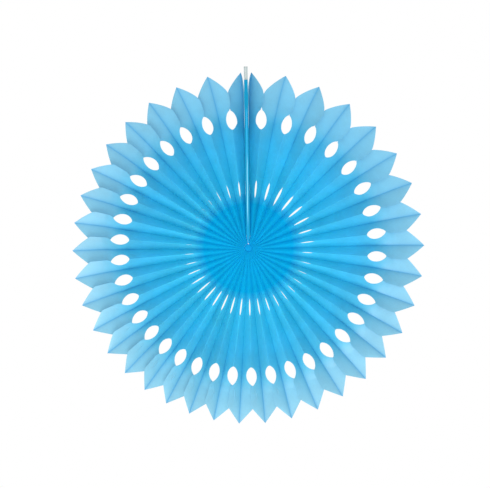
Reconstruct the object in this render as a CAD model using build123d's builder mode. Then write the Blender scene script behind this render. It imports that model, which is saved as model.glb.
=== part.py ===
from build123d import *
from math import asin, cos, hypot, radians, sin, sqrt
import os

os.makedirs("parts", exist_ok=True)

# Die-cut paper fan, hung by its end cards: +Z up, front towards -Y, all sizes in mm.
# The origin is the middle of the hanging hole; the hub lies straight below it.

# pleated sheet
fan_radius = 200.0
hub_radius = 4.5
pleat_width = 19.5
paper_thickness = 0.25
panel_count = 74

# the opened fan is pulled wider on one side: angle of each fold in degrees
right_fold_angle = 1.8
left_fold_angle = 1.6
spread_sine = 7.145
spread_cosine = 3.607
spread_double_sine = 0.361
spread_double_cosine = 0.501
spread_triple_sine = 0.42
spread_triple_cosine = 0.372

# end cards, the paper that covers their front edges, and the adhesive strip between them
card_thickness = 2.0
card_depth = 19.6
card_inner = 16.0
card_corner = 2.0
cover_inner = 5.5
cover_outer = fan_radius - 10.0
strip_thickness = 0.3
strip_depth = 15.0
strip_inner = 20.0
strip_outer = fan_radius - 8.0
hang_height = fan_radius + 2.4
hang_hole_radius = 1.5
card_top = hang_height + 2.8

# slits near the hub, cut into the front folds; how far they stand open changes round the fan
slit_inner = 0.285 * fan_radius
slit_outer = 0.405 * fan_radius
slit_depth = 5.6
slit_open_mean = 0.38
slit_open_swing = 0.32
slit_open_angle = 27.0
slit_open_least = 0.08

# outline of one panel: radius along the fold, width left from the back fold
oval_inner = 0.675 * fan_radius
oval_middle = 0.735 * fan_radius
oval_outer = 0.795 * fan_radius
oval_half_opening = 5.9
end_neck_width = 15.0
petal_base_width = 16.8
petal_widest = 0.8525 * fan_radius
petal_shoulder = 0.905 * fan_radius
petal_shoulder_width = 16.8
petal_bow = 1.2

# petals hang free outside the ovals, each one lying over the next
free_radius = 0.705 * fan_radius
ease_radius = 0.785 * fan_radius
lap_radius = 0.83 * fan_radius
lap_over = 0.1
lap_under = -0.38
ease_over = 0.36
ease_under = -0.2

# core of wound thread that gathers the inner ends
core_radius = hub_radius - 0.08
core_length = 9.0
core_crown = 2.2

# where the first and last fold stand beside the end cards, at the hub and at the rim
card_face = strip_thickness / 2 + card_thickness
hub_fold_offset = 0.75
hub_edge_offset = 0.25
glue_fold_offset = card_face + 0.55
rim_fold_right = 6.2
rim_fold_left = 5.6
card_fold_front = -card_depth / 2 + 0.1
glue_start = 15.0
splay_start = 0.5 * fan_radius

# stations along the radius: hub, slit, plain band, oval, petal
slit_middle = (slit_inner + slit_outer) / 2


def steps(start, stop, count):
    """Evenly spaced radii from start, up to but not including stop."""
    return [start + (stop - start) * k / count for k in range(count)]


stations = [hub_radius, glue_start, (glue_start + slit_inner) / 2]
stations += steps(slit_inner, slit_middle, 2) + steps(slit_middle, slit_outer, 2)
stations += steps(slit_outer, oval_inner, 2)
oval_turns = [radians(30.0), radians(60.0)]
stations += [oval_inner] + [oval_middle + (oval_inner - oval_middle) * cos(turn) for turn in oval_turns]
stations += [oval_middle] + [oval_middle + (oval_outer - oval_middle) * sin(turn) for turn in oval_turns]
stations += steps(oval_outer, petal_widest, 3) + steps(petal_widest, petal_shoulder, 3)
stations += steps(petal_shoulder, fan_radius, 2) + [fan_radius]


def seam_offset(r, rim):
    """Distance of the fold beside the card from the seam plane."""
    if r <= glue_start:
        share = (r - hub_radius) / (glue_start - hub_radius)
        return hub_fold_offset + (glue_fold_offset - hub_fold_offset) * share
    if r <= splay_start:
        return glue_fold_offset
    share = (r - splay_start) / (fan_radius - splay_start)
    return glue_fold_offset + (rim - glue_fold_offset) * share**4


def edge_offset(r):
    """Distance of the glued edge of an end panel from the seam plane."""
    if r >= glue_start:
        return card_face
    share = (r - hub_radius) / (glue_start - hub_radius)
    return hub_edge_offset + (card_face - hub_edge_offset) * share


def fold_angle(i, r):
    """Clockwise angle of fold i from the top, in radians, at radius r."""
    pitch = (360.0 - right_fold_angle - left_fold_angle) / panel_count
    n = radians(right_fold_angle + pitch * i)
    start = radians(right_fold_angle)
    stop = radians(360.0 - left_fold_angle)

    def opened(a):
        once = spread_sine * sin(a) + spread_cosine * (1 - cos(a))
        twice = spread_double_sine * sin(2 * a) + spread_double_cosine * (1 - cos(2 * a))
        thrice = spread_triple_sine * sin(3 * a) + spread_triple_cosine * (1 - cos(3 * a))
        return a + radians(once + twice + thrice)

    share = (opened(n) - opened(start)) / (opened(stop) - opened(start))
    first = asin(seam_offset(r, rim_fold_right) / r)
    last = asin(seam_offset(r, rim_fold_left) / r)
    return first + share * (radians(360.0) - first - last)


def fold_point(i, r):
    """Place of fold i at radius r, seen from the front."""
    a = fold_angle(i, r)
    return r * sin(a), r * cos(a) - hang_height


def fold_gap(i, r):
    """Mean spacing between fold i and its neighbours."""
    x, z = fold_point(i, r)
    gaps = []
    for j in (i - 1, i + 1):
        if 0 <= j <= panel_count:
            u, v = fold_point(j, r)
            gaps.append(hypot(u - x, v - z))
    return sum(gaps) / len(gaps)


def fold_height(i, r):
    """Front to back height of the pleat at fold i."""
    return sqrt(max(pleat_width**2 - fold_gap(i, r) ** 2, 16.0))


def fold_wall(i, r):
    """Paper thickness at fold i, measured front to back."""
    gap = fold_gap(i, r)
    share = between(r, 1.0, (ease_over + ease_under) / 2 + 0.5, (lap_over + lap_under) / 2 + 0.5)
    return paper_thickness * hypot(gap, share * fold_height(i, r)) / gap


def back_front(i, r):
    """Front coordinate of a back fold."""
    return card_fold_front if i in (0, panel_count) else -fold_height(i, r) / 2


def between(r, free, eased, lapped):
    """Value at radius r that changes from the joined pleats to the lapping petals."""
    if r <= free_radius:
        return free
    if r <= ease_radius:
        return free + (eased - free) * (r - free_radius) / (ease_radius - free_radius)
    if r <= lap_radius:
        return eased + (lapped - eased) * (r - ease_radius) / (lap_radius - ease_radius)
    return lapped


def ridge_front(i, r, lapping):
    """Front coordinate of a panel at its front fold; outside the ovals the petals lap."""
    share = between(r, 0.5, ease_over, lap_over) if lapping else between(r, 0.5, ease_under, lap_under)
    return share * fold_height(i, r)


def slit_cut(i, r):
    """Depth of the slit at fold i, measured from the fold line."""
    turn = fold_angle(i, slit_middle) - radians(slit_open_angle)
    opening = max(slit_open_mean + slit_open_swing * cos(2 * turn), slit_open_least)
    share = (r - slit_middle) / (slit_outer - slit_middle)
    return max(slit_depth * (opening - share**2), 0.0)


def neck_width(i):
    """Width of the necks beside the oval at fold i; each oval stands open by the same width."""
    if i in (0, panel_count):
        return end_neck_width
    return pleat_width * (1 - oval_half_opening / fold_gap(i, oval_middle))


def cut_width(i, r):
    """Width of a panel at fold i, from its back fold to its die-cut edge or its front fold."""
    if slit_inner < r < slit_outer:
        return pleat_width - slit_cut(i, r)
    if oval_inner < r <= oval_middle:
        share = (oval_middle - r) / (oval_middle - oval_inner)
        return neck_width(i) + (pleat_width - neck_width(i)) * (1 - sqrt(1 - share**2))
    if oval_middle < r <= oval_outer:
        share = (r - oval_middle) / (oval_outer - oval_middle)
        return neck_width(i) + (petal_base_width - neck_width(i)) * (1 - sqrt(1 - share**2))
    if oval_outer < r <= petal_widest:
        share = (petal_widest - r) / (petal_widest - oval_outer)
        return pleat_width - (pleat_width - petal_base_width) * share**2
    if petal_widest < r <= petal_shoulder:
        share = (r - petal_widest) / (petal_shoulder - petal_widest)
        return pleat_width - (pleat_width - petal_shoulder_width) * share**2
    if r > petal_shoulder:
        share = (fan_radius - r) / (fan_radius - petal_shoulder)
        return petal_shoulder_width * share + 4 * petal_bow * share * (1 - share)
    return pleat_width


def joined(i, r):
    """True where the panels reach front fold i."""
    if slit_inner < r < slit_outer:
        return slit_cut(i, r) == 0.0
    return r <= oval_inner


def on_sheet(point, front):
    """A point of the model from its place seen from the front and its front coordinate."""
    return Vector(point[0], -front, point[1])


def end_mitre(i, r):
    """Inner corner of the paper at the fold beside a card: its shift sideways and to the front."""
    side, ridge = (1, 1) if i == 0 else (-1, panel_count - 1)
    x, z = fold_point(i, r)
    u, v = fold_point(ridge, r)
    card_run = abs(x) - edge_offset(r)
    card_rise = sqrt(pleat_width**2 - card_run**2)
    run = hypot(u - x, v - z)
    rise = ridge_front(ridge, r, i == 0) - card_fold_front
    length = hypot(run, rise)
    across = card_rise / pleat_width - rise / length
    ahead = card_run / pleat_width + run / length
    scale = paper_thickness / (1 - (card_rise * rise - card_run * run) / (pleat_width * length))
    return side * across * scale, ahead * scale


def fold_line(i, r, lapping=True):
    """The two edges of the paper at fold i: towards the front and towards the back."""
    place = fold_point(i, r)
    wall = fold_wall(i, r)
    if i % 2 == 1:
        front = ridge_front(i, r, lapping)
        return on_sheet(place, front), on_sheet(place, front - wall)
    back = back_front(i, r)
    if i in (0, panel_count):
        shift, wall = end_mitre(i, r)
        return on_sheet((place[0] + shift, place[1]), back + wall), on_sheet(place, back)
    return on_sheet(place, back + wall), on_sheet(place, back)


def glued_line(i, r):
    """The two edges of an end panel where it meets its card, beside fold i."""
    side = 1 if i == 0 else -1
    x, z = fold_point(i, r)
    near = side * edge_offset(r)
    rise = sqrt(pleat_width**2 - (x - near) ** 2)
    wall = paper_thickness * pleat_width / abs(x - near)
    front = card_fold_front + rise
    return on_sheet((near, z), front), on_sheet((near, z), front - wall)


def panel_rows(back, ridge):
    """Corners of a panel at every station: front side at fold and edge, back side at fold and edge."""
    rows = []
    for r in stations:
        lapping = ridge is not None and back < ridge
        fold_front, fold_back = fold_line(back, r)
        far_front, far_back = glued_line(back, r) if ridge is None else fold_line(ridge, r, lapping)
        free = r > free_radius and ridge is not None
        run = (far_front - fold_front).length if free else pleat_width
        cut = back if ridge is None else ridge
        share = 1.0 if joined(cut, r) else cut_width(cut, r) / run
        edge_front = fold_front + (far_front - fold_front) * share
        edge_back = fold_back + (far_back - fold_back) * share
        rows.append((fold_front, edge_front, fold_back, edge_back))
    return rows


def facet(*corners):
    """One flat piece of the sheet's surface."""
    return Face(Wire.make_polygon(corners, close=True))


# surface of the folded sheet, panel by panel; each panel twists a little, so it has flat facets
panels = [(i, i + 1) if i % 2 == 0 else (i + 1, i) for i in range(panel_count)]
panels += [(0, None), (panel_count, None)]
surface = []
for back, ridge in panels:
    rows = panel_rows(back, ridge)
    surface.append(facet(rows[0][0], rows[0][1], rows[0][2]))
    surface.append(facet(rows[0][1], rows[0][3], rows[0][2]))
    for k in range(len(rows) - 1):
        inner, outer = rows[k], rows[k + 1]
        for fold, edge in ((0, 1), (2, 3)):
            surface.append(facet(inner[fold], inner[edge], outer[fold]))
            if stations[k + 1] < fan_radius:
                surface.append(facet(inner[edge], outer[edge], outer[fold]))
        if ridge is None or not (joined(ridge, stations[k]) and joined(ridge, stations[k + 1])):
            surface.append(facet(inner[1], outer[1], inner[3]))
            surface.append(facet(outer[1], outer[3], inner[3]))

with BuildPart() as pleated_paper:
    add(Solid(Shell(surface)))
pleated_paper.part.label = "pleated_paper"
export_step(pleated_paper.part, "parts/pleated_paper.step")

# two end cards face to face at the seam, with a hanging hole through both
with BuildPart() as end_card_right:
    with BuildSketch(Plane.YZ.offset(strip_thickness / 2)):
        with Locations((0, (card_inner + card_top) / 2 - hang_height)):
            Rectangle(card_depth, card_top - card_inner)
    extrude(amount=card_thickness)
    fillet(end_card_right.edges().filter_by(Axis.X).group_by(Axis.Z)[-1], radius=card_corner)
    with BuildSketch(Plane.YZ):
        Circle(hang_hole_radius)
    extrude(amount=card_thickness * 2, mode=Mode.SUBTRACT)
end_card_right.part.label = "end_card_right"
export_step(end_card_right.part, "parts/end_card_right.step")

with BuildPart() as end_card_left:
    mirror(end_card_right.part, about=Plane.YZ)
end_card_left.part.label = "end_card_left"
export_step(end_card_left.part, "parts/end_card_left.step")

# adhesive strip that holds the cards together
with BuildPart() as seam_strip:
    with Locations((0, 0, (strip_inner + strip_outer) / 2 - hang_height)):
        Box(strip_thickness, strip_depth, strip_outer - strip_inner)
seam_strip.part.label = "seam_strip"
export_step(seam_strip.part, "parts/seam_strip.step")

# paper fold that covers the front edges of both cards and narrows towards the hub
with BuildPart() as edge_cover:
    with BuildSketch(Plane.XZ.offset(card_depth / 2)):
        with BuildLine():
            Polyline(
                (-edge_offset(cover_inner), cover_inner - hang_height),
                (edge_offset(cover_inner), cover_inner - hang_height),
                (card_face, glue_start - hang_height),
                (card_face, cover_outer - hang_height),
                (-card_face, cover_outer - hang_height),
                (-card_face, glue_start - hang_height),
                close=True,
            )
        make_face()
    extrude(amount=paper_thickness)
edge_cover.part.label = "edge_cover"
export_step(edge_cover.part, "parts/edge_cover.step")

# core of wound thread, crowned at both ends, inside the inner ends of the pleats
with BuildPart() as centre_thread:
    half = core_length / 2
    with BuildSketch(Plane.XY.offset(-hang_height)):
        with BuildLine():
            Line((0, -half - core_crown), (0, half + core_crown))
            TangentArc((0, half + core_crown), (core_radius, half), tangent=(1, 0))
            Line((core_radius, half), (core_radius, -half))
            TangentArc((0, -half - core_crown), (core_radius, -half), tangent=(1, 0))
        make_face()
    revolve(axis=Axis((0, 0, -hang_height), (0, 1, 0)))
centre_thread.part.label = "centre_thread"
export_step(centre_thread.part, "parts/centre_thread.step")
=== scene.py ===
"""Die-cut paper fan: finished paper, cards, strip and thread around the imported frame."""
from math import asin, cos, hypot, pi, radians, sin, sqrt

import bpy
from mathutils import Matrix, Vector


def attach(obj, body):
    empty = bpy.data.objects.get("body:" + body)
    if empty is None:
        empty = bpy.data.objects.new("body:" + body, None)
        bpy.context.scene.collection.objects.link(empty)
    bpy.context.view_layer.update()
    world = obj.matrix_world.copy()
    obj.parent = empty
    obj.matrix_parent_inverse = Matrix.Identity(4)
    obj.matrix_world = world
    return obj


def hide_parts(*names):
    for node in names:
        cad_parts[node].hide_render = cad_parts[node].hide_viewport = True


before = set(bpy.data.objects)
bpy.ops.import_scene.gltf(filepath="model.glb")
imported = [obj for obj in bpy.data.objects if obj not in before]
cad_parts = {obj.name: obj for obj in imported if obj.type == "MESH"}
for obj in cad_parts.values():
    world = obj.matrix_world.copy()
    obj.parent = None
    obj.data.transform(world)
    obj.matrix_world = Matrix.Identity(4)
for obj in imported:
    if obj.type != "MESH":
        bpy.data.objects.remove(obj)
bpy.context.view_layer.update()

scene = bpy.context.scene
scene.view_settings.view_transform = "Standard"

# The sheet is worked out in mm and scaled to metres. Radii start at the hub.
MM = 0.001
FAN = 200.0
HUB = 4.5
WIDTH = 19.5
PAPER = 0.25
PANELS = 74
HANG = 202.4
LEAST_HEIGHT = 4.0

# angles of the two end folds, and the waves by which the pleats are opened unevenly, all in degrees
RIGHT_ANGLE, LEFT_ANGLE = 1.8, 1.6
PITCH = (360 - RIGHT_ANGLE - LEFT_ANGLE) / PANELS
START, STOP = radians(RIGHT_ANGLE), radians(360 - LEFT_ANGLE)
SPREAD = ((7.145, 3.607), (0.361, 0.501), (0.42, 0.372))

# slits in the front folds; they gape most along the open angle and its opposite
SLIT_IN, SLIT_OUT, SLIT_DEPTH = 55.0, 79.0, 4.9
SLIT_MID = (SLIT_IN + SLIT_OUT) / 2
OPEN_MEAN, OPEN_SWING, OPEN_ANGLE, OPEN_LEAST = 0.38, 0.32, 27.0, 0.03
OPEN_SIDE, OPEN_SIDE_ANGLE = 0.09, 105.0

# ovals in the front folds; OVAL_ROUND is how much of their curve is a circle's, the rest being a parabola's
OVAL_IN, OVAL_MID, OVAL_OUT = 135.0, 146.0, 156.8
HALF_OPENING, END_NECK, OVAL_ROUND = 6.3, 14.6, 0.55

# petals: their width at the oval, the radius where they are widest, and the shoulder that the tip starts from
BASE, WIDEST, SHOULDER, SHOULDER_WIDTH, BOW = 16.8, 170.5, 181.0, 16.8, 1.2

# the front folds come free, ease and lap; their heights are shares of the pleat's height, and LAP_REACH is
# how far a lapping half may reach, as a share of its span
FREE, EASE, LAP = 141.0, 157.0, 166.0
LAP_OVER, LAP_UNDER, EASE_OVER, EASE_UNDER = 0.16, -0.2, 0.36, 0.0
LAP_REACH = 1.07

# curl of the free petal halves, which differs from pleat to pleat
CURL_RUN, CURL_MEAN, CURL_SWING, CURL_STEP, UNDER_CURL = 20.0, 0.35, 0.25, 2.4, -0.4

# pleats are pressed together near the hub and open further out; depths are shares of the gap between folds
PRESSED_DEPTH, OPENED_DEPTH, PRESSED_TO, OPENED_RUN = 1.3, 0.9, 38.0, 50.0

# the seam: where the end folds and the glued end panels stand beside the two cards
CARD_FACE, CARD_FRONT = 2.15, -9.7
HUB_FOLD, HUB_EDGE, GLUE_FOLD = 0.75, 0.25, 2.7
RIM_RIGHT, RIM_LEFT = 6.2, 5.6
GLUE, SPLAY, SPLAY_POWER = 15.0, 100.0, 4


def seam_offset(r, rim):
    """How far an end fold stands aside from the middle of the seam."""
    if r <= GLUE:
        return HUB_FOLD + (GLUE_FOLD - HUB_FOLD) * (r - HUB) / (GLUE - HUB)
    if r <= SPLAY:
        return GLUE_FOLD
    return GLUE_FOLD + (rim - GLUE_FOLD) * ((r - SPLAY) / (FAN - SPLAY)) ** SPLAY_POWER


def edge_offset(r):
    """How far the edge of a glued end panel stands aside from the middle of the seam."""
    if r >= GLUE:
        return CARD_FACE
    return HUB_EDGE + (CARD_FACE - HUB_EDGE) * (r - HUB) / (GLUE - HUB)


def opened(a):
    """Where an evenly spaced fold comes to lie when the pleats are opened unevenly."""
    waves = enumerate(SPREAD, 1)
    return a + radians(sum(s * sin(k * a) + c * (1 - cos(k * a)) for k, (s, c) in waves))


def fold_angle(i, r):
    share = (opened(radians(RIGHT_ANGLE + PITCH * i)) - opened(START)) / (opened(STOP) - opened(START))
    first = asin(seam_offset(r, RIM_RIGHT) / r)
    last = asin(seam_offset(r, RIM_LEFT) / r)
    return first + share * (2 * pi - first - last)


def fold_point(i, r):
    """Place of fold i, seen from the front."""
    a = fold_angle(i, r)
    return r * sin(a), r * cos(a) - HANG


def fold_gap(i, r):
    """Mean distance from fold i to its neighbours, seen from the front."""
    x, z = fold_point(i, r)
    gaps = []
    for j in (i - 1, i + 1):
        if 0 <= j <= PANELS:
            u, v = fold_point(j, r)
            gaps.append(hypot(u - x, v - z))
    return sum(gaps) / len(gaps)


def fold_height(i, r):
    """Depth of a pleat from its front fold to its back fold."""
    return sqrt(max(WIDTH**2 - fold_gap(i, r) ** 2, LEAST_HEIGHT**2))


def smooth(t):
    t = min(max(t, 0.0), 1.0)
    return t * t * (3 - 2 * t)


def between(r, free, eased, lapped):
    """Value at r that runs from free through eased to lapped."""
    if r <= FREE:
        return free
    if r <= EASE:
        return free + (eased - free) * (r - FREE) / (EASE - FREE)
    if r <= LAP:
        return eased + (lapped - eased) * (r - EASE) / (LAP - EASE)
    return lapped


def fold_wall(i, r):
    """Thickness of the sloping sheet, measured towards the viewer."""
    gap = fold_gap(i, r)
    share = between(r, 1.0, (EASE_OVER + EASE_UNDER) / 2 + 0.5, (LAP_OVER + LAP_UNDER) / 2 + 0.5)
    return PAPER * hypot(gap, share * fold_height(i, r)) / gap


def ridge_front(i, r, lapping):
    """How far front fold i stands towards the viewer, for the half that laps or the one below it."""
    share = between(r, 0.5, EASE_OVER, LAP_OVER) if lapping else between(r, 0.5, EASE_UNDER, LAP_UNDER)
    return share * fold_height(i, r)


def slit_cut(i, r):
    """How far the slit at fold i has opened each panel beside it."""
    a = fold_angle(i, SLIT_MID)
    twice = OPEN_SWING * cos(2 * (a - radians(OPEN_ANGLE)))
    opening = max(OPEN_MEAN + twice + OPEN_SIDE * cos(a - radians(OPEN_SIDE_ANGLE)), OPEN_LEAST)
    along = ((r - SLIT_MID) / (SLIT_OUT - SLIT_MID)) ** 2 / opening
    return SLIT_DEPTH * opening * sqrt(1 - along) if along < 1 else 0.0


def neck_width(i):
    """Width of the panels beside the oval at fold i; each oval stands open by the same width."""
    if i in (0, PANELS):
        return END_NECK
    return WIDTH * (1 - HALF_OPENING / fold_gap(i, OVAL_MID))


def lens(t):
    """How far an oval has closed at t of its half length: full at the middle, nearly pointed at its ends."""
    return OVAL_ROUND * (1 - sqrt(1 - t * t)) + (1 - OVAL_ROUND) * t * t


def cut_width(i, r):
    """Width of a panel from its back fold to the cut edge at fold i."""
    if SLIT_IN < r < SLIT_OUT:
        return WIDTH - slit_cut(i, r)
    if OVAL_IN < r <= OVAL_MID:
        neck = neck_width(i)
        return neck + (WIDTH - neck) * lens((OVAL_MID - r) / (OVAL_MID - OVAL_IN))
    if OVAL_MID < r <= OVAL_OUT:
        neck = neck_width(i)
        return neck + (BASE - neck) * lens((r - OVAL_MID) / (OVAL_OUT - OVAL_MID))
    if OVAL_OUT < r <= WIDEST:
        return WIDTH - (WIDTH - BASE) * ((WIDEST - r) / (WIDEST - OVAL_OUT)) ** 2
    if WIDEST < r <= SHOULDER:
        return WIDTH - (WIDTH - SHOULDER_WIDTH) * ((r - WIDEST) / (SHOULDER - WIDEST)) ** 2
    if r > SHOULDER:
        share = (FAN - r) / (FAN - SHOULDER)
        # petals at the foot of the fan have straight edges, those at its top bowed ones
        bow = BOW * (0.5 + 0.5 * cos(fold_angle(i, r)))
        return SHOULDER_WIDTH * share + 4 * bow * share * (1 - share)
    return WIDTH


def joined(i, r):
    """Whether the two panels at front fold i are one sheet at r."""
    if SLIT_IN < r < SLIT_OUT:
        return slit_cut(i, r) == 0.0
    return r <= OVAL_IN


def spot(place, front):
    """Point from its place seen from the front and its distance towards the viewer."""
    return Vector((place[0], -front, place[1]))


def end_mitre(i, r):
    """Shift and depth of the inner corner where the sheet turns onto a card."""
    side, ridge = (1, 1) if i == 0 else (-1, PANELS - 1)
    x, z = fold_point(i, r)
    u, v = fold_point(ridge, r)
    card_run = abs(x) - edge_offset(r)
    card_rise = sqrt(WIDTH**2 - card_run**2)
    run, rise = hypot(u - x, v - z), ridge_front(ridge, r, i == 0) - CARD_FRONT
    length = hypot(run, rise)
    scale = PAPER / (1 - (card_rise * rise - card_run * run) / (WIDTH * length))
    return side * (card_rise / WIDTH - rise / length) * scale, (card_run / WIDTH + run / length) * scale


def fold_line(i, r, lapping=True):
    """Front and back point of the sheet at fold i."""
    place, wall = fold_point(i, r), fold_wall(i, r)
    if i % 2 == 1:
        front = ridge_front(i, r, lapping)
        return spot(place, front), spot(place, front - wall)
    if i in (0, PANELS):
        shift, wall = end_mitre(i, r)
        return spot((place[0] + shift, place[1]), CARD_FRONT + wall), spot(place, CARD_FRONT)
    back = -fold_height(i, r) / 2
    return spot(place, back + wall), spot(place, back)


def glued_line(i, r):
    """Front and back point at the edge of the panel that is glued to a card."""
    side = 1 if i == 0 else -1
    x, z = fold_point(i, r)
    near = side * edge_offset(r)
    front = CARD_FRONT + sqrt(WIDTH**2 - (x - near) ** 2)
    wall = PAPER * WIDTH / abs(x - near)
    return spot((near, z), front), spot((near, z), front - wall)


def packed(i, r):
    """Deepest that the groove between two pleats can be seen into, near the hub where they press together."""
    return fold_gap(i, r) * (PRESSED_DEPTH + OPENED_DEPTH * smooth((r - PRESSED_TO) / OPENED_RUN))


def groove_floor(i, r):
    """Depth of the front groove at a back fold, the same for the panels on its two sides."""
    crests = [fold_line(j, r)[0].y for j in (i - 1, i + 1) if 0 < j < PANELS]
    return min(fold_line(i, r)[0].y, sum(crests) / len(crests) + packed(i, r))


def groove_roof(i, r):
    """Depth of the groove behind a front fold, the same for the panels on its two sides."""
    troughs = [fold_line(j, r)[1].y for j in (i - 1, i + 1)]
    return max(fold_line(i, r)[1].y, sum(troughs) / 2 - packed(i, r))


def steps(start, stop, count):
    return [start + (stop - start) * k / count for k in range(count)]


# radii of the grid's rows; they crowd towards the ends of each oval
OVAL_STEPS = 8
OVAL_TURNS = [k * pi / (2 * OVAL_STEPS) for k in range(1, OVAL_STEPS)]
ROWS = steps(HUB, GLUE, 4) + steps(GLUE, SLIT_IN, 8) + steps(SLIT_IN, SLIT_OUT, 12)
ROWS += steps(SLIT_OUT, OVAL_IN, 9) + [OVAL_IN]
ROWS += [OVAL_MID - (OVAL_MID - OVAL_IN) * cos(turn) for turn in OVAL_TURNS] + [OVAL_MID]
ROWS += [OVAL_MID + (OVAL_OUT - OVAL_MID) * sin(turn) for turn in OVAL_TURNS]
ROWS += steps(OVAL_OUT, SHOULDER, 12)
ROWS += steps(SHOULDER, FAN, 8) + [FAN]
ACROSS = 6
# each panel has its own strip of the sheet coordinates, in metres
PANEL_STEP, PANEL_START = 0.1, 0.01


def panel_grid(back, ridge):
    """Front point, back point and width so far, row by row, from a panel's back fold to its edge."""
    lapping = ridge is not None and back < ridge
    curl_side = 1.0 if lapping else UNDER_CURL
    loose = CURL_MEAN + CURL_SWING * sin(CURL_STEP * back)
    grid = []
    for r in ROWS:
        fold_f, fold_b = fold_line(back, r)
        far_f, far_b = glued_line(back, r) if ridge is None else fold_line(ridge, r, lapping)
        if r < FREE:
            fold_f.y = groove_floor(back, r)
        if r < SLIT_IN and ridge is not None:
            far_b.y = groove_roof(ridge, r)
        free = r > FREE and ridge is not None
        run = (far_f - fold_f).length if free else WIDTH
        cut = back if ridge is None else ridge
        share = 1.0 if joined(cut, r) else cut_width(cut, r) / run
        if free and lapping:
            share = min(share, LAP_REACH)
        # a free petal half curls a little between its fold and its edge
        curl = smooth((r - OVAL_OUT) / CURL_RUN) if ridge is not None else 0.0
        row = []
        for k in range(ACROSS + 1):
            u = share * k / ACROSS
            bend = loose * curl * curl_side * min(1.0, 2 * share) * (4 * (k / ACROSS) * (1 - k / ACROSS))
            push = Vector((0, -bend, 0))
            front = fold_f + (far_f - fold_f) * u + push
            row.append((front, fold_b + (far_b - fold_b) * u + push, u * WIDTH))
        grid.append(row)
    return grid


class SheetMesh:
    """Points, faces and sheet coordinates of the paper; points that coincide become one."""

    def __init__(self):
        self.verts, self.faces, self.uvs, self.index = [], [], [], {}

    def vert(self, p):
        key = (round(p.x, 5), round(p.y, 5), round(p.z, 5))
        if key not in self.index:
            self.index[key] = len(self.verts)
            self.verts.append(p * MM)
        return self.index[key]

    def face(self, corners, flip):
        if flip:
            corners.reverse()
        ids = [self.vert(p) for p, _ in corners]
        kept = [k for k in range(len(ids)) if ids[k] != ids[k - 1]]
        if len(set(ids)) >= 3:
            self.faces.append([ids[k] for k in kept])
            self.uvs.extend(corners[k][1] for k in kept)

    def panel(self, number, back, ridge):
        """Front, back, cut edge and inner end of one panel; one without a ridge is glued to a card."""
        grid = panel_grid(back, ridge)
        start = PANEL_STEP * number + PANEL_START
        # the front side faces the viewer, so the winding follows which side the back fold is on
        turn = ridge is not None and back < ridge or back == PANELS and ridge is None

        def corner(row, step, side):
            return grid[row][step][side], (start + grid[row][step][2] * MM, ROWS[row] * MM)

        for a in range(len(ROWS) - 1):
            b = a + 1
            for k in range(ACROSS):
                around = ((a, k), (b, k), (b, k + 1), (a, k + 1))
                for side in (0, 1):
                    self.face([corner(row, step, side) for row, step in around], turn != (side == 1))
            if ridge is None or not (joined(ridge, ROWS[a]) and joined(ridge, ROWS[b])):
                around = ((a, 0), (a, 1), (b, 1), (b, 0))
                self.face([corner(row, ACROSS, side) for row, side in around], not turn)
        for k in range(ACROSS):
            around = ((k, 0), (k + 1, 0), (k + 1, 1), (k, 1))
            self.face([corner(0, step, side) for step, side in around], turn)


def paper_mesh():
    """The folded sheet as one closed mesh, with its sheet coordinates."""
    sheet = SheetMesh()
    panels = [(i, i + 1) if i % 2 == 0 else (i + 1, i) for i in range(PANELS)]
    panels += [(0, None), (PANELS, None)]
    for number, (back, ridge) in enumerate(panels):
        sheet.panel(number, back, ridge)
    mesh = bpy.data.meshes.new("folded_paper")
    mesh.from_pydata(sheet.verts, [], sheet.faces)
    layer = mesh.uv_layers.new(name="sheet")
    for at, uv in enumerate(sheet.uvs):
        layer.data[at].uv = uv
    mesh.validate()
    mesh.update()
    return mesh


def core_mesh():
    """Wound thread at the hub: turns of thread lie side by side over two crowned ends."""
    radius, half, crown, round_steps = 4.48, 8.7, 0.8, 48
    end_turns, end_ridge, end_steps = 7, 0.1, 42
    side_turns, side_ridge, side_steps = 12, 0.03, 24
    waver, waver_turns, waver_lean = 0.03, 3, 2
    profile = []
    for k in range(end_steps + 1):
        t = k / end_steps
        profile.append((radius * t, half + crown * (1 - t * t) + end_ridge * abs(sin(pi * end_turns * t))))
    for k in range(1, side_steps + 1):
        t = k / side_steps
        profile.append((radius - side_ridge + side_ridge * abs(sin(pi * side_turns * t)), half * (1 - t)))
    profile += [(x, -y) for x, y in reversed(profile[:-1])]
    front, back = profile[0][1], profile[-1][1]
    rings = profile[1:-1]
    # the two poles come first, then the rings from the front to the back
    verts, faces = [(0.0, -front * MM, -HANG * MM), (0.0, -back * MM, -HANG * MM)], []
    for x, y in rings:
        for j in range(round_steps):
            a = 2 * pi * j / round_steps
            wind = waver * sin(a * waver_turns + y * waver_lean)
            verts.append((x * sin(a) * MM, -(y + wind) * MM, (x * cos(a) - HANG) * MM))
    last = 2 + (len(rings) - 1) * round_steps
    for j in range(round_steps):
        n = (j + 1) % round_steps
        faces.append((0, 2 + n, 2 + j))
        faces.append((1, last + j, last + n))
        for k in range(len(rings) - 1):
            a, b = 2 + k * round_steps, 2 + (k + 1) * round_steps
            faces.append((a + j, a + n, b + n, b + j))
    mesh = bpy.data.meshes.new("wound_core")
    mesh.from_pydata(verts, [], faces)
    mesh.validate()
    mesh.polygons.foreach_set("use_smooth", [True] * len(mesh.polygons))
    mesh.update()
    return mesh


def srgb(r, g, b):
    """Linear colour of an 8-bit one."""
    shares = [c / 255 for c in (r, g, b)]
    return tuple(c / 12.92 if c <= 0.04045 else ((c + 0.055) / 1.055) ** 2.4 for c in shares) + (1.0,)


def grey(v):
    return (v, v, v, 1.0)


NATURAL_BASE = 2.718


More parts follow.
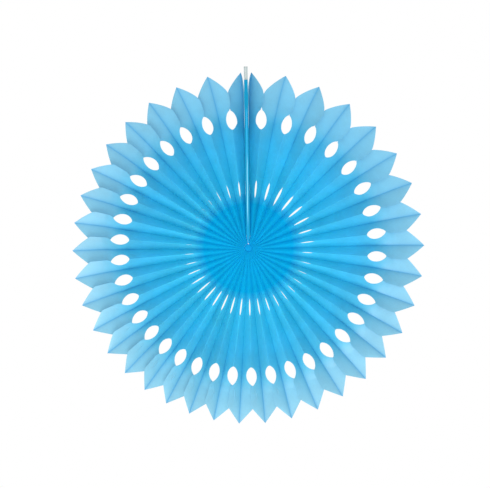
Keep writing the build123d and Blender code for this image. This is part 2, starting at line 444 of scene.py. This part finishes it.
class Nodes:
    """Short way to write the node tree of a material or a world."""

    def __init__(self, owner):
        self.owner = owner
        owner.use_nodes = True
        self.tree = owner.node_tree
        self.tree.nodes.clear()

    def put(self, socket, value):
        """Link an output to a socket, or set the socket itself."""
        if isinstance(value, bpy.types.NodeSocket):
            self.tree.links.new(value, socket)
        else:
            socket.default_value = value

    def add(self, kind, **inputs):
        """New node: p_ and a word sets a property, i and a number an input by place, a word one by name."""
        node = self.tree.nodes.new(kind)
        for key, value in inputs.items():
            if key.startswith("p_"):
                setattr(node, key[2:], value)
        for key, value in inputs.items():
            if not key.startswith("p_"):
                numbered = key[0] == "i" and key[1:].isdigit()
                self.put(node.inputs[int(key[1:]) if numbered else key.replace("_", " ")], value)
        return node

    def math(self, op, a, b=None, clamp=False):
        node = self.add("ShaderNodeMath", p_operation=op, p_use_clamp=clamp, i0=a)
        if b is not None:
            self.put(node.inputs[1], b)
        return node.outputs[0]

    def scaled(self, value, size, start):
        return self.math("ADD", self.math("MULTIPLY", value, size), start)

    def swing(self, noise, size):
        """Noise that swings about zero."""
        return self.math("MULTIPLY", self.math("SUBTRACT", noise, 0.5), size)

    def fade(self, distance, rate):
        """Falls from 1 to its e-th part over 1 / rate."""
        return self.math("POWER", NATURAL_BASE, self.math("MULTIPLY", distance, -rate))

    def ramp(self, value, stops, eased=True):
        node = self.add("ShaderNodeValToRGB", i0=value)
        node.color_ramp.interpolation = "EASE" if eased else "LINEAR"
        elements = node.color_ramp.elements
        while len(elements) < len(stops):
            elements.new(0.5)
        for element, (place, colour) in zip(elements, stops):
            element.position = place
            element.color = colour
        return node.outputs[0]

    def mix(self, factor, a, b, blend="MIX"):
        node = self.add("ShaderNodeMix", p_data_type="RGBA", p_blend_type=blend, i0=factor, i6=a, i7=b)
        return node.outputs[2]

    def rgb(self, r, g, b):
        return self.add("ShaderNodeCombineColor", i0=r, i1=g, i2=b).outputs[0]

    def noise(self, where, scale, detail=2.0, roughness=0.5):
        node = self.add("ShaderNodeTexNoise", Vector=where, Scale=scale, Detail=detail, Roughness=roughness)
        return node.outputs[0]

    def fibre(self, where, stretch, detail=4.0, roughness=0.6):
        """Noise drawn out along one direction."""
        run = self.add("ShaderNodeMapping", i0=where, Scale=stretch).outputs[0]
        return self.noise(run, scale=1.0, detail=detail, roughness=roughness)

    def bump(self, height, strength, distance=0.0002):
        return self.add("ShaderNodeBump", Strength=strength, Distance=distance, Height=height).outputs[0]

    def surface(self, colour, roughness, bump, specular=0.5):
        node = self.add("ShaderNodeBsdfPrincipled", Base_Color=colour, Roughness=roughness, Normal=bump,
                        Specular_IOR_Level=specular)
        return node.outputs[0]

    def place(self):
        """Object coordinates, in metres."""
        return self.add("ShaderNodeTexCoord").outputs["Object"]

    def finish(self, shader, kind="ShaderNodeOutputMaterial"):
        self.add(kind, i0=shader)
        return self.owner


def material(name):
    return Nodes(bpy.data.materials.new(name))


def from_hub(n, where):
    """Distances aside from and above the hub in metres, and the share of the fan's radius that they make."""
    parts = n.add("ShaderNodeSeparateXYZ", i0=where).outputs
    aside, above = parts[0], n.math("ADD", parts[2], HANG * MM)
    square = n.math("ADD", n.math("MULTIPLY", aside, aside), n.math("MULTIPLY", above, above))
    return aside, above, n.math("DIVIDE", n.math("SQRT", square), FAN * MM)


# paper blue from the hub to the tips, by the share of the radius, in linear colour; partly the paper's own
# blue and partly painted shade, darker and deeper towards the hub where the packed pleats shade one another
PAPER_BLUE_AND_PAINTED_SHADE = [
    (0.0, (0.012, 0.595, 0.855, 1)), (0.25, (0.009, 0.62, 0.865, 1)), (0.31, (0.13, 0.80, 0.94, 1)),
    (0.47, (0.135, 0.762, 0.925, 1)), (0.57, (0.145, 0.735, 0.92, 1)), (0.72, (0.125, 0.62, 0.83, 1)),
    (0.80, (0.19, 0.61, 0.81, 1)), (1.0, (0.285, 0.63, 0.79, 1))]
FIBRE_TONE, CLOUD_TONE, PANEL_TONE = 0.16, 0.14, 0.08
# painted light: the paper is painted paler towards the foot of the fan, a little more on its left, where the
# low key light falls; per metre, then by how much
PAINTED_LIGHT_ASIDE, PAINTED_LIGHT_ABOVE, PAINTED_LIGHT_RED, PAINTED_LIGHT_GREEN = -1.7, -4.7, 0.16, 0.04
# painted shade in the crease: a narrow dark line and a wider shade beside it, by how fast they fade per metre
CREASE_SHADE_LINE_FADE, SHADE_FADE, CREASE_SHADE_LINE_TONE = 1500.0, 380.0, 0.35


def paper_material():
    n = material("blue_paper")
    where = n.place()
    aside, above, out = from_hub(n, where)
    sheet = n.add("ShaderNodeUVMap", p_uv_map="sheet").outputs[0]
    # fibres run along the pleats; clouding is the uneven density of thin paper
    fibre = n.fibre(sheet, stretch=(1500.0, 260.0, 1.0))
    cloud = n.noise(where, scale=70.0, detail=3.0, roughness=0.55)
    tone = n.math("ADD", n.swing(fibre, FIBRE_TONE), n.swing(cloud, CLOUD_TONE))
    # no two panels took quite the same dye
    along = n.add("ShaderNodeSeparateXYZ", i0=sheet).outputs[0]
    number = n.math("FLOOR", n.math("DIVIDE", along, PANEL_STEP))
    own = n.add("ShaderNodeTexWhiteNoise", p_noise_dimensions="1D", W=number).outputs[0]
    tone = n.math("ADD", tone, n.scaled(own, PANEL_TONE, 1 - PANEL_TONE / 2))
    # painted shade: the radial ramp darkens the paper towards the hub
    colour = n.mix(1.0, n.ramp(out, PAPER_BLUE_AND_PAINTED_SHADE, False), n.rgb(tone, tone, tone), "MULTIPLY")
    # painted light: paler red and green towards the lower left of the fan
    down = n.math("ADD", n.math("MULTIPLY", aside, PAINTED_LIGHT_ASIDE), n.math("MULTIPLY", above, PAINTED_LIGHT_ABOVE))
    pale = n.rgb(n.scaled(down, PAINTED_LIGHT_RED, 1.0), n.scaled(down, PAINTED_LIGHT_GREEN, 1.0), 1.0)
    colour = n.mix(1.0, colour, pale, "MULTIPLY")
    # painted shade in the crease: a darker line along the back fold, with a wider shade beside it where the
    # rim lies open
    across = n.math("SUBTRACT", n.math("MODULO", along, PANEL_STEP), PANEL_START)
    open_rim = n.ramp(out, [(0.62, grey(0.0)), (0.8, grey(0.38))], False)
    shade = n.math("MULTIPLY", n.fade(across, SHADE_FADE), open_rim)
    crease_shade = n.math("ADD", n.math("MULTIPLY", n.fade(across, CREASE_SHADE_LINE_FADE), CREASE_SHADE_LINE_TONE), shade)
    colour = n.mix(crease_shade, colour, srgb(6, 162, 216))
    bump = n.bump(fibre, strength=0.12)
    # the paper's reflection is weak near the hub and grows outwards; the free petals keep their full sheen
    sheen = n.ramp(out, [(0.25, grey(0.02)), (0.35, grey(0.15)), (0.8, grey(1.0))], False)
    front = n.surface(colour, roughness=0.46, bump=bump, specular=sheen)
    through = n.add("ShaderNodeBsdfTranslucent", Color=colour, Normal=bump).outputs[0]
    # pleats that stand close light one another through the sheet
    lit_through = n.ramp(out, [(0.6, grey(0.66)), (0.78, grey(0.36))], False)
    return n.finish(n.add("ShaderNodeMixShader", i0=lit_through, i1=front, i2=through).outputs[0])


def card_material():
    n = material("grey_board")
    where = n.place()
    pulp = n.fibre(where, stretch=(2600.0, 320.0, 320.0), detail=5.0, roughness=0.65)
    fleck = n.math("GREATER_THAN", n.noise(where, scale=900.0), 0.66)
    board = n.ramp(pulp, [(0.25, srgb(152, 166, 168)), (0.75, srgb(190, 202, 202))])
    board = n.mix(n.math("MULTIPLY", fleck, 0.35), board, srgb(150, 158, 158))
    bump = n.bump(pulp, strength=0.25, distance=0.0003)
    return n.finish(n.surface(board, roughness=0.85, bump=bump, specular=0.2))


def strip_material():
    n = material("adhesive_strip")
    ripple = n.noise(n.place(), scale=420.0, detail=3.0)
    colour = n.ramp(ripple, [(0.3, srgb(205, 226, 236)), (0.7, srgb(228, 240, 245))])
    return n.finish(n.surface(colour, roughness=0.45, bump=n.bump(ripple, strength=0.15)))


def thread_material():
    n = material("blue_thread")
    wave = n.add("ShaderNodeTexWave", Vector=n.place(), Scale=900.0, Distortion=3.0, Detail=2.0)
    twist = wave.outputs["Fac"]
    colour = n.ramp(twist, [(0.2, srgb(5, 138, 202)), (0.8, srgb(12, 158, 218))])
    return n.finish(n.surface(colour, roughness=0.8, bump=n.bump(twist, strength=0.5), specular=0.03))


# the paler line on the cover: half its width and how far it wanders, in metres
LINE_HALF, LINE_WANDER = 0.0008, 0.0012


def cover_material():
    n = material("cover_paper")
    where = n.place()
    aside, _, out = from_hub(n, where)
    fibre = n.fibre(where, stretch=(1500.0, 1500.0, 260.0))
    colour = n.ramp(fibre, [(0.3, srgb(8, 130, 172)), (0.7, srgb(14, 148, 190))])
    # the joint of the two cards shows through as a thin paler line, rubbed most in the middle of its length
    wander = n.swing(n.noise(where, scale=45.0), LINE_WANDER)
    off_line = n.math("ABSOLUTE", n.math("ADD", aside, wander))
    line = n.math("SUBTRACT", 1.0, n.math("DIVIDE", off_line, LINE_HALF), clamp=True)
    rubbed = n.ramp(out, [
        (0.1, srgb(30, 160, 222)), (0.26, srgb(150, 228, 252)), (0.45, srgb(140, 222, 250)),
        (0.55, srgb(64, 180, 236)), (0.76, srgb(58, 176, 232)), (0.8, srgb(12, 140, 182))])
    colour = n.mix(line, colour, rubbed)
    return n.finish(n.surface(colour, roughness=0.62, bump=n.bump(fibre, strength=0.2), specular=0.08))


def floor_material():
    n = material("pale_floor")
    pale = n.ramp(n.noise(n.place(), scale=3.0), [(0.3, grey(0.86)), (0.7, grey(0.9))])
    return n.finish(n.add("ShaderNodeBsdfPrincipled", Base_Color=pale, Roughness=0.9).outputs[0])


def dress(obj, look):
    obj.data.materials.clear()
    obj.data.materials.append(look)


def new_object(name, data):
    obj = bpy.data.objects.new(name, data)
    scene.collection.objects.link(obj)
    return obj


# pieces
paper = new_object("folded_paper", paper_mesh())
dress(paper, paper_material())
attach(paper, "root")
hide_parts("pleated_paper")

board = card_material()
for name in ("end_card_right", "end_card_left"):
    dress(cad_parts[name], board)
dress(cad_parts["seam_strip"], strip_material())
core = new_object("wound_core", core_mesh())
dress(core, thread_material())
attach(core, "root")
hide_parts("centre_thread")
dress(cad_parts["edge_cover"], cover_material())

# floor, in metres
FLOOR_HALF, FLOOR_Z = 5.0, -1.6
floor_mesh = bpy.data.meshes.new("floor")
sides = ((-1, -1), (1, -1), (1, 1), (-1, 1))
floor_corners = [(x * FLOOR_HALF, y * FLOOR_HALF, FLOOR_Z) for x, y in sides]
floor_mesh.from_pydata(floor_corners, [], [(0, 1, 2, 3)])
floor = new_object("floor", floor_mesh)
dress(floor, floor_material())

# light: a low key in front, a wide fill above, and an even white room
HUB_Z = -HANG * MM
MIDDLE = Vector((0.0, 0.0, HUB_Z))
WHITE = (1.0, 1.0, 1.0, 1.0)
ROOM_LIGHT, SEEN_WHITE = 1.03, 1.0


def area(name, place, size, watts):
    light = bpy.data.lights.new(name, "AREA")
    light.energy = watts
    light.size = size
    obj = new_object(name, light)
    obj.location = place
    obj.rotation_euler = (MIDDLE - Vector(place)).to_track_quat("-Z", "Y").to_euler()


area("key", place=(-0.15, -0.95, -1.15), size=0.8, watts=10.5)
area("fill", place=(0.5, -1.8, 0.5), size=1.6, watts=1.5)

room = Nodes(bpy.data.worlds.new("studio"))
soft = room.add("ShaderNodeBackground", i0=WHITE, i1=ROOM_LIGHT).outputs[0]
white = room.add("ShaderNodeBackground", i0=WHITE, i1=SEEN_WHITE).outputs[0]
path = room.add("ShaderNodeLightPath").outputs
shiny = room.math("MAXIMUM", path["Is Glossy Ray"], path["Is Transmission Ray"])
seen = room.math("MAXIMUM", path["Is Camera Ray"], shiny)
choose = room.add("ShaderNodeMixShader", i0=seen, i1=soft, i2=white).outputs[0]
scene.world = room.finish(choose, "ShaderNodeOutputWorld")

# camera: straight in front, a little left of and above the hub; the field is the width it sees at the fan
SENSOR, DISTANCE, FIELD = 36.0, 2.2, 0.5557
ASIDE, ABOVE, ROLL = -0.0037, 0.0046, 0.84
camera = new_object("camera", bpy.data.cameras.new("camera"))
camera.data.sensor_width = SENSOR
camera.data.lens = SENSOR * DISTANCE / FIELD
camera.location = (ASIDE, -DISTANCE, HUB_Z + ABOVE)
camera.rotation_euler = (radians(90), radians(ROLL), 0.0)
scene.camera = camera
